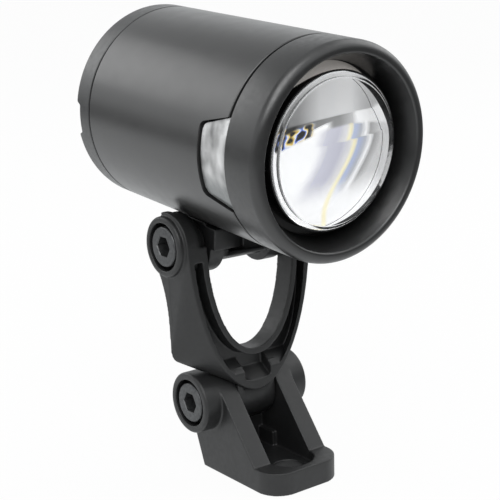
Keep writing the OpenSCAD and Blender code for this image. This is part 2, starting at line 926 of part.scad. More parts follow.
module choke() {
    color("darkslategray") on_optic() translate([0, choke_up, 0])
        turned(choke_r, driver_rear - choke_h, driver_rear, choke_hole_r);
}

module terminal_block() {
    color("seagreen") on_optic()
        translate([-terminal[0] / 2, terminal_up - terminal[1] / 2, driver_rear - terminal[2]])
            cube(terminal);
}

foot_bracket();
lower_screw();
lower_nut();
yoke_bracket();
pivot_block();
insert_left();
insert_right();
upper_screw_left();
upper_screw_right();
block_screws();
housing_tube();
rear_cap();
cap_seal();
cap_screws();
cable_grommet();
front_bezel();
lens_carrier();
carrier_seal();
projector_lens();
side_window_left();
side_window_right();
reflector();
led_board();
led_emitter();
heat_sink();
led_leads();
driver_board();
store_capacitor();
choke();
terminal_block();
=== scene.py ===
"""Bike headlight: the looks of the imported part, seen from its left front.

Lengths are in metres. The lamp's own frame has its origin at the centre of the rear face, Z forward along
the axis and Y up; the optic's frame is the same, turned with the optic.
"""
import json
import math

import bmesh
import bpy
from mathutils import Matrix, Vector


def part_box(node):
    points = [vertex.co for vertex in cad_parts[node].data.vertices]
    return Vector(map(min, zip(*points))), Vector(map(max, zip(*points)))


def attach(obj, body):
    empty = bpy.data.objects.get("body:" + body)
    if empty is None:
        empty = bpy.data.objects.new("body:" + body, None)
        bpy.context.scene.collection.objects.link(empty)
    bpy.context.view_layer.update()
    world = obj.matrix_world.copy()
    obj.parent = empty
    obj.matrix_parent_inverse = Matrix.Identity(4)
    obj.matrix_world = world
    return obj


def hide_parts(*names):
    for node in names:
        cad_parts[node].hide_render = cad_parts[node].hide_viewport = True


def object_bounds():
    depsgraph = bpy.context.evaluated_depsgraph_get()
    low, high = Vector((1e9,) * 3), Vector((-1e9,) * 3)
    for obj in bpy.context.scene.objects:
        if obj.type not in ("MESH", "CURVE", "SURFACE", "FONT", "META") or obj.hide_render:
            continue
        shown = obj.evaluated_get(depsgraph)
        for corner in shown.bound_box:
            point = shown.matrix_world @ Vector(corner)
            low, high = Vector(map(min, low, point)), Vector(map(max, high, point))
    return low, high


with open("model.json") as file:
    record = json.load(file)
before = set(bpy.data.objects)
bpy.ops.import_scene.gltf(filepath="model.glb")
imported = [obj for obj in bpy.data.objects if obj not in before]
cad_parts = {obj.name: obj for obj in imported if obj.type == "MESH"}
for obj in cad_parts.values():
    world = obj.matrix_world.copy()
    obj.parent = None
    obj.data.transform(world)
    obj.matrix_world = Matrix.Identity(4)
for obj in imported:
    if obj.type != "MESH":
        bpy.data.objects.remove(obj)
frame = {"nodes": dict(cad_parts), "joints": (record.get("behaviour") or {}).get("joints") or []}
cad_low, cad_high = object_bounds()

# Unit, mesh detail and the gaps between neighbours
MM = 0.001
WELD = 1e-7
ROUND = 192
FIT_GAP = 0.1 * MM
RUN_GAP = 0.05 * MM
PAST_SKIN = 1.1  # reach of a cutter, in body radii

# The lamp in the yoke: its pitch, the optic's roll in it, and where the upper pivot lies
LAMP_PITCH = math.radians(5.6)
OPTIC_ROLL = math.radians(5)
PIVOT_FWD = 28.4 * MM
PIVOT_GAP = 3 * MM

# Tube, cap and bezel; rears, fronts and backs are measured forward from the lamp's rear face
LAMP_LEN = 63.3 * MM
TUBE_REAR = 6.1 * MM
TUBE_FRONT = 53.5 * MM
TUBE_WALL = 1.6 * MM
TUBE_EDGE = 0.25 * MM
CAP_LEN = 5.7 * MM
CAP_FACE = 3 * MM
CAP_EDGE = 1.4 * MM
CAP_WALL = 3 * MM
CAP_SPIGOT = 5 * MM
CAP_NOTCH_DEEP = 2.2 * MM
CAP_NOTCH_HALF = 3 * MM
CAP_NOTCH_IN = 1.8 * MM
CAP_NOTCH_CORNER = 0.5 * MM
GROMMET_UP = -11 * MM
GROMMET_R = 4.4 * MM
GROMMET_T = 1.2 * MM
GROMMET_BRIM = 1.2 * MM
GROMMET_MOUTH = 0.4 * MM
CABLE_R = 2.1 * MM
BEZEL_REAR = 54.1 * MM
BEZEL_EDGE = 1.9 * MM
BEZEL_REAR_EDGE = 0.3 * MM
BEZEL_INSET = 0.9 * MM
DISH_R = 17 * MM
DISH_DEPTH = 5.7 * MM
DISH_RIM_IN = 2.4 * MM
DISH_RIM_EDGE = 0.6 * MM
DISH_FOOT_EDGE = 0.25 * MM
DISH_BACK = 56.55 * MM

# Lens: a plug with a flange, crowned below a sloping step and hollowed a little above it
LENS_R = 15.2 * MM
LENS_BACK = 50.9 * MM
LENS_FRONT = 61.3 * MM
LENS_FLANGE = 0.8 * MM
LENS_SHOULDER = 0.7 * MM
LENS_EDGE = 0.25 * MM
LENS_CROWN = 1.8 * MM
LENS_UPPER = -0.6 * MM
LENS_STEP = 2.6 * MM
LENS_SLOPE = 4.4 * MM
LENS_SHARP_DEG = 55

# Round the lens: its carrier with a collar, the face behind it, the lip above it and the ears beside it
CARRIER_BACK = 40 * MM
CARRIER_FRONT = 56.5 * MM
COLLAR_T = 0.3 * MM
COLLAR_END = 60.2 * MM
THIN_EDGE = 0.1 * MM
COLLAR_GAP = 0.16 * MM
FACE_T = 0.8 * MM
LIP_OUT = 16.8 * MM
LIP_H = 3.4 * MM
LIP_BRIM = 0.2 * MM
LIP_GAP = 0.06 * MM
LIP_FROM, LIP_TO = math.radians(40), math.radians(128)
EAR_HALF = 2.9 * MM
EAR_UP = 1.8 * MM
EAR_T = 1.6 * MM
EAR_CORNER = 0.3 * MM
EAR_GAP = 0.25 * MM

# Reflector and side windows
MIRROR_BACK = 31 * MM
MIRROR_FRONT = 49.7 * MM
MIRROR_HOLE = 4.6 * MM
MIRROR_WALL = 1 * MM
MIRROR_INSET = 3.6 * MM
WINDOW_LEN = 7.9 * MM
WINDOW_REAR = 7.1 * MM
WINDOW_FRONT = 9.4 * MM
WINDOW_GAP = 0.45 * MM
WINDOW_SINK = 0.6 * MM
WINDOW_T = 2.2 * MM
WINDOW_CORNER = 0.9 * MM
NOTCH_CORNER = 1.4 * MM
POCKET_CORNER = 1 * MM

# Pivot screws and cap screws
SCREW_R = 2.5 * MM
HEAD_R = 4.25 * MM
HEAD_H = 5 * MM
KEY_W = 4 * MM
KEY_DEEP = 2.6 * MM
CAP_SCREW_X = 12 * MM
CAP_SCREW_R = 1.5 * MM
CAP_SCREW_LEN = 9 * MM
CAP_HEAD_R = 2.75 * MM
CAP_HEAD_H = 1.8 * MM
CAP_HEAD_SINK = 1.9 * MM
CAP_KEY_W = 2.5 * MM
CAP_KEY_DEEP = 1.2 * MM

# Soft copies of the brackets: voxel, smoothing passes and the share of faces kept
SOFT_VOXEL = 0.17 * MM
SOFT_PASSES = 6
SOFT_KEEP = 0.3

# Places that come from the frame
pivots = {joint["name"]: Vector(joint["pos_m"]) for joint in frame["joints"]}
tube_low, tube_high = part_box("housing_tube")
BODY_R = (tube_high.x - tube_low.x) / 2
BORE_R = BODY_R - TUBE_WALL
LAMP = (Matrix.Translation(pivots["upper_tilt"])
        @ Matrix.Rotation(math.pi / 2 + LAMP_PITCH, 4, "X")
        @ Matrix.Translation((0, BODY_R + PIVOT_GAP, -PIVOT_FWD)))
OPTIC = LAMP @ Matrix.Rotation(OPTIC_ROLL, 4, "Z")


# Mesh helpers
def piece(name, mesh, body, slot, material, *replaced):
    """Object for a finished mesh, which rides on a body and stands for CAD nodes."""
    mesh.name = name
    obj = bpy.data.objects.new(name, mesh)
    bpy.context.scene.collection.objects.link(obj)
    mesh.materials.clear()
    mesh.materials.append(material)
    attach(obj, body)
    if replaced:
        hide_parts(*replaced)


def from_bmesh(bm, matrix, sharp_deg=32):
    """Mesh in the row frame, smooth but for its sharp edges."""
    bmesh.ops.remove_doubles(bm, verts=bm.verts, dist=WELD)
    bmesh.ops.recalc_face_normals(bm, faces=bm.faces)
    mesh = bpy.data.meshes.new("piece")
    bm.to_mesh(mesh)
    bm.free()
    mesh.transform(matrix)
    mesh.shade_smooth()
    mesh.set_sharp_from_angle(angle=math.radians(sharp_deg))
    return mesh


def fillet(points, steps=6):
    """Outline with its corners rounded. Each point is (a, b) or (a, b, radius)."""
    out = []
    count = len(points)
    for i, point in enumerate(points):
        here = Vector(point[:2])
        radius = point[2] if len(point) > 2 else 0
        if radius == 0:
            out.append(here)
            continue
        before = (Vector(points[i - 1][:2]) - here).normalized()
        after = (Vector(points[(i + 1) % count][:2]) - here).normalized()
        half = before.angle(after) / 2
        centre = here + (before + after).normalized() * radius / math.sin(half)
        start = here + before * radius / math.tan(half) - centre
        sweep = start.angle_signed(here + after * radius / math.tan(half) - centre)
        for k in range(steps + 1):
            out.append(centre + Matrix.Rotation(-sweep * k / steps, 2) @ start)
    return out


def turns(count):
    """Equal angles round a full turn."""
    return [2 * math.pi * k / count for k in range(count)]


def join(bm, rings):
    """Faces between neighbouring closed rings of equally many points."""
    for one, two in zip(rings, rings[1:]):
        for k in range(len(one)):
            n = (k + 1) % len(one)
            bm.faces.new([one[k], one[n], two[n], two[k]])


def lathe(points, segments=ROUND):
    """Solid of revolution about Z of a closed outline of (radius, height) points."""
    bm = bmesh.new()
    rings = []
    for r, z in points:
        if r < WELD:
            rings.append([bm.verts.new((0, 0, z))] * segments)
            continue
        rings.append([bm.verts.new((r * math.cos(a), r * math.sin(a), z)) for a in turns(segments)])
    for low, high in zip(rings, rings[1:] + rings[:1]):
        for k in range(segments):
            n = (k + 1) % segments
            corners = list(dict.fromkeys([low[k], low[n], high[n], high[k]]))
            if len(corners) > 2:
                bm.faces.new(corners)
    return bm


def prism(outline, low, high):
    """Solid between two heights of a closed outline of (x, y) points."""
    bm = bmesh.new()
    under = [bm.verts.new((p[0], p[1], low)) for p in outline]
    over = [bm.verts.new((p[0], p[1], high)) for p in outline]
    bm.faces.new(reversed(under))
    bm.faces.new(over)
    join(bm, [under, over])
    return bm


def carve(bm, cutters):
    """The bmesh with each cutter taken away, by exact booleans."""
    objects = []
    for source in [bm] + cutters:
        mesh = bpy.data.meshes.new("carve")
        bmesh.ops.recalc_face_normals(source, faces=source.faces)
        source.to_mesh(mesh)
        source.free()
        obj = bpy.data.objects.new("carve", mesh)
        bpy.context.scene.collection.objects.link(obj)
        objects.append(obj)
    for cutter in objects[1:]:
        change = objects[0].modifiers.new("cut", "BOOLEAN")
        change.operation = "DIFFERENCE"
        change.solver = "EXACT"
        change.object = cutter
    done = bake(objects[0])
    for obj in objects:
        bpy.data.objects.remove(obj)
    out = bmesh.new()
    out.from_mesh(done)
    bpy.data.meshes.remove(done)
    return out


def bake(obj):
    """Mesh of an object with its modifiers applied."""
    graph = bpy.context.evaluated_depsgraph_get()
    return bpy.data.meshes.new_from_object(obj.evaluated_get(graph))


def round_normals(mesh, to_lamp, least=0.985):
    """Gives the faces that lie round the lamp's axis exact normals, so that cuts don't show in the gloss."""
    back = to_lamp.inverted()
    normals = [Vector(corner.vector) for corner in mesh.corner_normals]
    for face in mesh.polygons:
        for loop in face.loop_indices:
            local = back @ mesh.vertices[mesh.loops[loop].vertex_index].co
            out = to_lamp.to_3x3() @ Vector((local.x, local.y, 0)).normalized()
            if abs(face.normal.dot(out)) > least:
                normals[loop] = out if face.normal.dot(out) > 0 else -out
    mesh.normals_split_custom_set(normals)


# Material helpers
PALE = (0.95, 0.95, 0.95, 1)
WHITE = (1, 1, 1, 1)
NOISE_SPAN = (0.3, 0.7)


def feed(tree, value, socket):
    """Links an output to a socket, or sets a constant on it."""
    if isinstance(value, bpy.types.NodeSocket):
        tree.links.new(value, socket)
    else:
        socket.default_value = value


def mixed(tree, kind, share, first, second):
    """Blend of two values or colours by a share."""
    node = tree.nodes.new("ShaderNodeMix")
    node.data_type = kind
    wanted = {"FLOAT": "VALUE", "RGBA": "RGBA"}[kind]
    pair = [s for s in node.inputs if s.type == wanted and s.name in ("A", "B")]
    tree.links.new(share, node.inputs[0])
    for value, socket in zip((first, second), pair):
        feed(tree, value, socket)
    return [s for s in node.outputs if s.type == wanted][0]


class Finish:
    """A material whose colour, gloss and relief come from patterns in the row frame."""

    def __init__(self, name, rough, metallic=0.0):
        self.material = bpy.data.materials.new(name)
        self.material.use_nodes = True
        self.tree = self.material.node_tree
        self.shader = self.tree.nodes["Principled BSDF"]
        self.shader.inputs["Roughness"].default_value = rough
        self.shader.inputs["Metallic"].default_value = metallic
        self.place = self.tree.nodes.new("ShaderNodeTexCoord").outputs["Object"]

    def set(self, **values):
        """Constants on the shader's own sockets, with _ for each space in a name."""
        for key, value in values.items():
            self.shader.inputs[key.replace("_", " ")].default_value = value

    def link(self, source, node, socket):
        self.tree.links.new(source, node.inputs[socket])

    def stretched(self, scale):
        """Coordinates stretched along the axes, for streaked noise."""
        node = self.tree.nodes.new("ShaderNodeMapping")
        node.inputs["Scale"].default_value = scale
        self.link(self.place, node, "Vector")
        return node.outputs["Vector"]

    def local(self, matrix):
        """X and Y in millimetres in a frame of the part."""
        node = self.tree.nodes.new("ShaderNodeMapping")
        node.vector_type = "TEXTURE"
        node.inputs["Location"].default_value = matrix.translation
        node.inputs["Rotation"].default_value = matrix.to_euler()
        node.inputs["Scale"].default_value = (MM, MM, MM)
        self.link(self.place, node, "Vector")
        split = self.tree.nodes.new("ShaderNodeSeparateXYZ")
        self.link(node.outputs["Vector"], split, "Vector")
        return split.outputs["X"], split.outputs["Y"]

    def span(self, source, low, high, start=0.0, end=1.0, kind="SMOOTHSTEP"):
        """The source's way from low to high, as a value from start to end."""
        node = self.tree.nodes.new("ShaderNodeMapRange")
        node.interpolation_type = kind
        for key, value in (("From Min", low), ("From Max", high), ("To Min", start), ("To Max", end)):
            node.inputs[key].default_value = value
        self.link(source, node, "Value")
        return node.outputs["Result"]

    def maths(self, operation, first, second=0.0):
        """Result of one operation on outputs or constants."""
        node = self.tree.nodes.new("ShaderNodeMath")
        node.operation = operation
        for value, socket in zip((first, second), node.inputs):
            feed(self.tree, value, socket)
        return node.outputs[0]

    def blend(self, share, first, second):
        """Blend of two colours by a share."""
        return mixed(self.tree, "RGBA", share, first, second)

    def noise(self, per_m, detail=4, place=None):
        """Noise with a number of features to the metre."""
        node = self.tree.nodes.new("ShaderNodeTexNoise")
        node.inputs["Scale"].default_value = per_m
        node.inputs["Detail"].default_value = detail
        self.link(place or self.place, node, "Vector")
        return node.outputs["Fac"]

    def ramp(self, source, *stops):
        """Colours along a source from 0 to 1. Each stop is (place, colour)."""
        node = self.tree.nodes.new("ShaderNodeValToRGB")
        while len(node.color_ramp.elements) < len(stops):
            node.color_ramp.elements.new(0.5)
        for element, (at, colour) in zip(node.color_ramp.elements, stops):
            element.position = at
            element.color = (*colour, 1)
        self.link(source, node, "Fac")
        return node.outputs["Color"]

    def colour(self, source, *stops):
        self.link(self.ramp(source, *stops), self.shader, "Base Color")

    def gloss(self, source, low, high):
        """Roughness between two values, by a noise."""
        self.link(self.span(source, *NOISE_SPAN, low, high, "LINEAR"), self.shader, "Roughness")

    def relief(self, source, depth):
        """Bumps of a depth, by a noise."""
        node = self.tree.nodes.new("ShaderNodeBump")
        node.inputs["Distance"].default_value = depth
        node.inputs["Strength"].default_value = 1.0
        self.link(source, node, "Height")
        self.link(node.outputs["Normal"], self.shader, "Normal")


def grey(value, blue=1.0):
    """Grey with its blue, and half as much its green, raised or lowered."""
    return (value, value * (1 + blue) / 2, value * blue)


def moulded(name, shade, rough, grain=5200, depth=0.012 * MM, shine=0.4):
    """Matte moulded plastic: fine spark-eroded grain and a faint cloud in its shade."""
    finish = Finish(name, rough)
    finish.set(Specular_IOR_Level=shine)
    finish.colour(finish.noise(240, 5), (0.3, grey(shade * 0.86, 1.05)), (0.7, grey(shade * 1.12, 1.05)))
    finish.gloss(finish.noise(900, 3), rough - 0.05, rough + 0.05)
    finish.relief(finish.noise(grain, 2), depth)
    return finish.material


def anodised(name, shade, rough):
    """Black anodised tube: satin, with faint lathe lines round it and a cloudy gloss."""
    finish = Finish(name, rough)
    finish.set(Specular_IOR_Level=1.0)
    lines = finish.noise(1.0, 2, finish.stretched((60, 5200, 60)))
    finish.colour(finish.noise(160, 4), (0.3, grey(shade * 0.9)), (0.7, grey(shade * 1.1)))
    finish.gloss(finish.noise(320, 4), rough - 0.025, rough + 0.025)
    finish.relief(lines, 0.0012 * MM)
    return finish.material


def steel(name, shade, rough):
    """Blackened steel with a fine turned grain."""
    finish = Finish(name, rough, 0.85)
    finish.colour(finish.noise(1500, 5), (0.3, grey(shade * 0.75, 1.04)), (0.7, grey(shade * 1.25, 1.04)))
    finish.gloss(finish.noise(2600, 3), rough - 0.08, rough + 0.1)
    finish.relief(finish.noise(7000, 2), 0.006 * MM)
    return finish.material


def metal(name, low, high, rough):
    """Bare metal between two colours, with a fine grain."""
    finish = Finish(name, rough, 1.0)
    finish.colour(finish.noise(900, 4), (0.3, low), (0.7, high))
    finish.gloss(finish.noise(2500, 3), rough - 0.05, rough + 0.08)
    finish.relief(finish.noise(5000, 2), 0.004 * MM)
    return finish.material


def coated(name, low, high, rough):
    """Board lacquer, sleeve or wire: smooth plastic with a faint mottle."""
    finish = Finish(name, rough)
    finish.colour(finish.noise(700, 4), (0.35, low), (0.65, high))
    finish.gloss(finish.noise(1800, 3), rough - 0.06, rough + 0.06)
    finish.relief(finish.noise(4000, 2), 0.005 * MM)
    return finish.material


def clear_lens(name):
    """Polished clear lens with a trace of ripple in its gloss."""
    finish = Finish(name, 0.0)
    finish.set(Transmission_Weight=1.0, IOR=1.49, Base_Color=(0.985, 0.992, 1.0, 1.0))
    finish.gloss(finish.noise(120, 2), 0.0, 0.03)
    return finish.material


def window_face(name):
    """Clear cover over a crinkled silver backing: soft patches, painted shade that darkens it low down, under a
    glossy face.
    """
    finish = Finish(name, 0.35, 0.35)
    finish.set(Coat_Weight=0.6, Coat_Roughness=0.12)
    patches = finish.noise(330, 1.5, finish.stretched((1, 1, 0.55)))
    silver = finish.ramp(patches, (0.34, grey(0.22)), (0.5, grey(0.5)), (0.66, grey(0.78)))
    up = finish.local(OPTIC)[1]
    # Painted shade: the silver turns to dark grey low down in the optic's frame
    shade = finish.blend(finish.span(up, -1, -6), silver, (0.2, 0.21, 0.21, 1))
    finish.link(shade, finish.shader, "Base Color")
    finish.relief(finish.noise(420, 2), 0.35 * MM)
    return finish.material


def painted_lens_view(name):
    """Face behind the lens, painted with what the clear lens gathers from the lit reflector.

    Below the step it is painted light, white with a lavender middle and a yellow line, and above it grey to
    pale.
    The band between is painted shade at the left, with painted glints of the LED, and has a painted white
    wedge.
    Part of the colour is emitted as a painted glow, so the face shines though nothing lights it. Lengths are in
    millimetres in the optic's frame.
    """
    finish = Finish(name, 0.4)
    x, y = finish.local(OPTIC)
    width = finish.span(x, -15, 15, kind="LINEAR")

    # Below the step: painted light, in streaks on both sides of a yellow line and white near the foot
    painted_line = finish.span(y, -13, 1, 1.2, 8.6)
    across = finish.maths("SUBTRACT", x, painted_line)
    way = finish.span(across, -16, 8, kind="LINEAR")
    streaks = finish.ramp(way, (0.0, grey(0.95)), (0.31, grey(0.93)), (0.42, (0.55, 0.55, 0.62)),
                          (0.54, (0.5, 0.5, 0.57)), (0.65, grey(0.72)), (0.7, (0.42, 0.48, 0.66)),
                          (0.77, (0.44, 0.46, 0.5)), (0.82, grey(0.9)), (0.86, grey(0.36)), (0.94, grey(0.6)))
    below = finish.blend(finish.span(y, -6, -11), streaks, PALE)
    near = finish.span(finish.maths("ABSOLUTE", across), 0.9, 0.1, 0, 0.75)
    below = finish.blend(near, below, (0.95, 0.86, 0.5, 1))

    # Band at the step: painted shade at its left end, with a painted white wedge, a highlight, in its lower
    # middle
    band = finish.ramp(width, (0.0, grey(0.01)), (0.3, grey(0.02)), (0.4, grey(0.17)), (0.7, grey(0.25)),
                       (0.8, grey(0.5)), (0.85, grey(0.95)), (0.95, grey(0.8)))
    slant = finish.maths("SUBTRACT", y, finish.maths("MULTIPLY", x, 0.14))
    inside = finish.maths("MULTIPLY", finish.span(x, -4, -2.5), finish.span(x, 4.5, 2))
    painted_wedge = finish.maths("MULTIPLY", finish.span(slant, 2.2, 1.7), inside)
    band = finish.blend(painted_wedge, band, PALE)

    # Above the step
    above = finish.ramp(width, (0.0, grey(0.13)), (0.33, grey(0.24)), (0.52, grey(0.56)), (0.78, grey(0.66)),
                        (0.95, grey(0.4)))
    face = finish.blend(finish.span(y, 0.3, 1.3), below, band)
    face = finish.blend(finish.span(y, 4.6, 5.8), face, above)

    # Painted glints of the LED, in the painted shade at the band's left end
    painted_glints = finish.ramp(finish.noise(420, 1), (0.38, grey(0.01)), (0.45, (0.2, 0.3, 0.75)), (0.5, grey(0.9)),
                         (0.56, (0.75, 0.55, 0.15)), (0.62, grey(0.01)))
    wide = finish.maths("MULTIPLY", finish.span(x, -10, -9), finish.span(x, 0, -2))
    tall = finish.maths("MULTIPLY", finish.span(y, 0.2, 0.8), finish.span(y, 4, 3))
    face = finish.blend(finish.maths("MULTIPLY", wide, tall), face, painted_glints)

    # Painted glow: the face emits its own colour, though nothing inside lights it
    finish.link(face, finish.shader, "Base Color")
    finish.link(face, finish.shader, "Emission Color")
    finish.set(Emission_Strength=0.75)
    finish.gloss(finish.noise(600, 2), 0.35, 0.5)
    return finish.material


def lip_painted_glow(name):
    """Moulded clear lip in the dish's shade, painted with light: warm grey, a little of it emitted as a painted
    glow.
    """
    finish = Finish(name, 0.3)
    # Painted light: a warm grey colour and a glow stand for light that the clear lip carries
    finish.set(Coat_Weight=0.4, Coat_Roughness=0.15,
               Emission_Color=(0.75, 0.71, 0.67, 1), Emission_Strength=0.2)
    finish.colour(finish.noise(300, 3), (0.3, grey(0.68, 0.9)), (0.7, grey(0.78, 0.9)))
    finish.relief(finish.noise(700, 2), 0.03 * MM)
    return finish.material


def mirror(name):
    """Satin vacuum-metallised plastic."""
    finish = Finish(name, 0.4, 0.4)
    finish.colour(finish.noise(400, 3), (0.3, grey(0.9)), (0.7, grey(0.96)))
    finish.gloss(finish.noise(300, 3), 0.34, 0.46)
    return finish.material


PLASTIC = moulded("bracket_plastic", 0.011, 0.46, shine=0.6)
TUBE_BLACK = anodised("anodised_tube", 0.022, 0.3)
CAP_BLACK = moulded("cap_black", 0.026, 0.36, 6500, 0.004 * MM, 1.0)
BEZEL_BLACK = moulded("bezel_black", 0.005, 0.34, 6500, 0.005 * MM, 1.0)
CARRIER_BLACK = moulded("carrier_black", 0.004, 0.3, 6500, 0.003 * MM)
STEEL = steel("screw_steel", 0.1, 0.42)
LENS = clear_lens("lens_clear")
WINDOW = window_face("window_clear")
MIRROR = mirror("reflector_mirror")
PAINTED_LENS_VIEW = painted_lens_view("painted_lens_view")
LIP_PAINTED_GLOW = lip_painted_glow("lens_lip")
RUBBER = moulded("seal_rubber", 0.018, 0.7, 3800, 0.02 * MM)
BRASS = metal("insert_brass", (0.5, 0.36, 0.13), (0.66, 0.5, 0.2), 0.3)
SINK = metal("sink_aluminium", grey(0.62), grey(0.76), 0.35)
LED_WHITE = coated("led_board_white", grey(0.78), grey(0.88), 0.4)
PHOSPHOR = coated("led_phosphor", (0.85, 0.62, 0.12), (0.95, 0.78, 0.25), 0.3)
WIRE = coated("lead_wire", (0.45, 0.04, 0.03), (0.55, 0.06, 0.05), 0.4)
BOARD = coated("board_green", (0.02, 0.15, 0.06), (0.04, 0.22, 0.1), 0.4)
SLEEVE = coated("capacitor_sleeve", (0.02, 0.03, 0.1), (0.04, 0.05, 0.15), 0.3)
FERRITE = moulded("ferrite", 0.06, 0.6)
TERMINAL = coated("terminal_green", (0.04, 0.26, 0.15), (0.06, 0.34, 0.2), 0.45)


# Brackets
def soft_copy(name, node, body):
    """Moulded copy of a CAD solid with soft edges."""
    source = frame["nodes"][node].data.copy()
    obj = bpy.data.objects.new("soft", source)
    bpy.context.scene.collection.objects.link(obj)
    bm = bmesh.new()
    bm.from_mesh(source)
    bmesh.ops.remove_doubles(bm, verts=bm.verts, dist=WELD)
    bm.to_mesh(source)
    bm.free()
    remesh = obj.modifiers.new("remesh", "REMESH")
    remesh.mode = "VOXEL"
    remesh.voxel_size = SOFT_VOXEL
    smooth = obj.modifiers.new("smooth", "SMOOTH")
    smooth.factor = 0.5
    smooth.iterations = SOFT_PASSES
    thin = obj.modifiers.new("thin", "DECIMATE")
    thin.ratio = SOFT_KEEP
    mesh = bake(obj)
    bpy.data.objects.remove(obj)
    mesh.shade_smooth()
    piece(name, mesh, body, "bracket_plastic", PLASTIC, node)


soft_copy("foot_moulding", "foot_bracket", "foot")
soft_copy("yoke_moulding", "yoke_bracket", "yoke")
soft_copy("block_moulding", "pivot_block", "lamp")


# Lamp body
SIDES = ((-1, "left"), (1, "right"))

# Turns an outline in forward and up into the lamp's Z and Y, extruded along X
SIDEWAYS = Matrix.Rotation(-math.pi / 2, 4, "Y")


def window_outline(inset, corner):
    """Outline of a side window, forward along the lamp and up."""
    back = TUBE_FRONT - WINDOW_LEN + inset
    rear = WINDOW_REAR - inset
    front = WINDOW_FRONT - inset
    past = TUBE_FRONT + 1 * MM
    return fillet([(back, -rear, corner), (past, -front), (past, front), (back, rear, corner)])


def side_prisms(outline, low):
    """Cutters through both sides of the lamp, from a distance off its axis outward, in the optic's frame."""
    out = []
    for side, _ in SIDES:
        bm = prism(outline, low, BODY_R * PAST_SKIN)
        place = SIDEWAYS if side < 0 else Matrix.Scale(-1, 4, (1, 0, 0)) @ SIDEWAYS
        bmesh.ops.transform(bm, matrix=place, verts=bm.verts)
        out.append(bm)
    return out


def bore(r, depth, x=0, y=0):
    """Cutter for a round pocket in the lamp's rear face."""
    bm = lathe([(0, -MM), (r, -MM), (r, depth), (0, depth)], 64)
    bmesh.ops.translate(bm, vec=(x, y, 0), verts=bm.verts)
    return bm


def make_tube():
    """Tube with a notch for each side window."""
    wall = lathe(fillet([(BODY_R, TUBE_REAR, TUBE_EDGE), (BODY_R, TUBE_FRONT, TUBE_EDGE),
                         (BORE_R, TUBE_FRONT), (BORE_R, TUBE_REAR)]))
    mesh = from_bmesh(carve(wall, side_prisms(window_outline(0, NOTCH_CORNER), BORE_R / 2)), OPTIC)
    round_normals(mesh, OPTIC)
    piece("tube_shell", mesh, "lamp", "anodised_tube", TUBE_BLACK, "housing_tube")


def make_cap():
    """Rear cap with a notch at each side and pockets for its screws and the grommet."""
    wide = CAP_NOTCH_HALF + CAP_NOTCH_DEEP / 2
    notch = fillet([(-MM, -wide), (0, -wide), (CAP_NOTCH_DEEP, -CAP_NOTCH_HALF, CAP_NOTCH_CORNER),
                    (CAP_NOTCH_DEEP, CAP_NOTCH_HALF, CAP_NOTCH_CORNER), (0, wide), (-MM, wide)])
    spigot = BORE_R - FIT_GAP
    hollow = spigot - CAP_WALL
    end = CAP_LEN + CAP_SPIGOT
    body = lathe(fillet([(0, 0), (BODY_R, 0, CAP_EDGE), (BODY_R, CAP_LEN, TUBE_EDGE), (spigot, CAP_LEN),
                         (spigot, end), (hollow, end), (hollow, CAP_FACE), (0, CAP_FACE)]))
    cutters = side_prisms(notch, BODY_R - CAP_NOTCH_IN)
    for side, _ in SIDES:
        cutters.append(bore(CAP_HEAD_R + FIT_GAP, CAP_HEAD_SINK, side * CAP_SCREW_X))
    cutters.append(bore(GROMMET_R + FIT_GAP, GROMMET_T + FIT_GAP, 0, GROMMET_UP))
    mesh = from_bmesh(carve(body, cutters), OPTIC)
    round_normals(mesh, OPTIC)
    piece("cap_shell", mesh, "lamp", "cap_black", CAP_BLACK, "rear_cap")


def make_grommet():
    """Rubber inlet with a rounded mouth."""
    back = CAP_FACE + GROMMET_T
    neck = GROMMET_R - GROMMET_BRIM
    ring = lathe(fillet([(CABLE_R, 0, GROMMET_MOUTH), (GROMMET_R, 0, GROMMET_MOUTH), (GROMMET_R, GROMMET_T),
                         (neck, GROMMET_T), (neck, back), (CABLE_R, back)]), 72)
    mesh = from_bmesh(ring, OPTIC @ Matrix.Translation((0, GROMMET_UP, 0)))
    piece("cable_inlet", mesh, "lamp", "seal_rubber", RUBBER, "cable_grommet")


def make_bezel():
    """Front ring with a rounded edge and a dished inside."""
    inner = BORE_R - BEZEL_INSET
    ring = lathe(fillet([(inner, BEZEL_REAR), (BODY_R, BEZEL_REAR, BEZEL_REAR_EDGE),
                         (BODY_R, LAMP_LEN, BEZEL_EDGE), (BODY_R - DISH_RIM_IN, LAMP_LEN, DISH_RIM_EDGE),
                         (DISH_R, LAMP_LEN - DISH_DEPTH, DISH_FOOT_EDGE),
                         (DISH_R, DISH_BACK), (inner, DISH_BACK)], 10))
    piece("bezel_ring", from_bmesh(ring, OPTIC), "lamp", "bezel_black", BEZEL_BLACK, "front_bezel")


def make_carrier():
    """Black ring that joins tube, bezel and lens, with a thin collar round the lens and window pockets."""
    outer = BORE_R - FIT_GAP
    flange = BODY_R - 0.7 * MM
    nose = BORE_R - 1 * MM
    seat = LENS_R + FIT_GAP
    collar = seat + COLLAR_T
    inner = BORE_R - 3.5 * MM
    ledge = LENS_R - 1 * MM
    ledge_front = LENS_BACK - FACE_T - RUN_GAP
    ledge_back = MIRROR_FRONT + RUN_GAP
    ring = lathe(fillet([(outer, CARRIER_BACK), (outer, TUBE_FRONT), (flange, TUBE_FRONT), (flange, BEZEL_REAR),
                         (nose, BEZEL_REAR), (nose, CARRIER_FRONT), (collar, CARRIER_FRONT),
                         (collar, COLLAR_END, THIN_EDGE), (seat, COLLAR_END), (seat, ledge_front),
                         (ledge, ledge_front), (ledge, ledge_back), (inner, ledge_back),
                         (inner, CARRIER_BACK)]))
    pocket = LENS_R + 1.1 * MM
    cutters = side_prisms(window_outline(WINDOW_GAP - FIT_GAP, POCKET_CORNER), pocket)
    mesh = from_bmesh(carve(ring, cutters), OPTIC)
    piece("carrier_ring", mesh, "lamp", "carrier_black", CARRIER_BLACK, "lens_carrier")


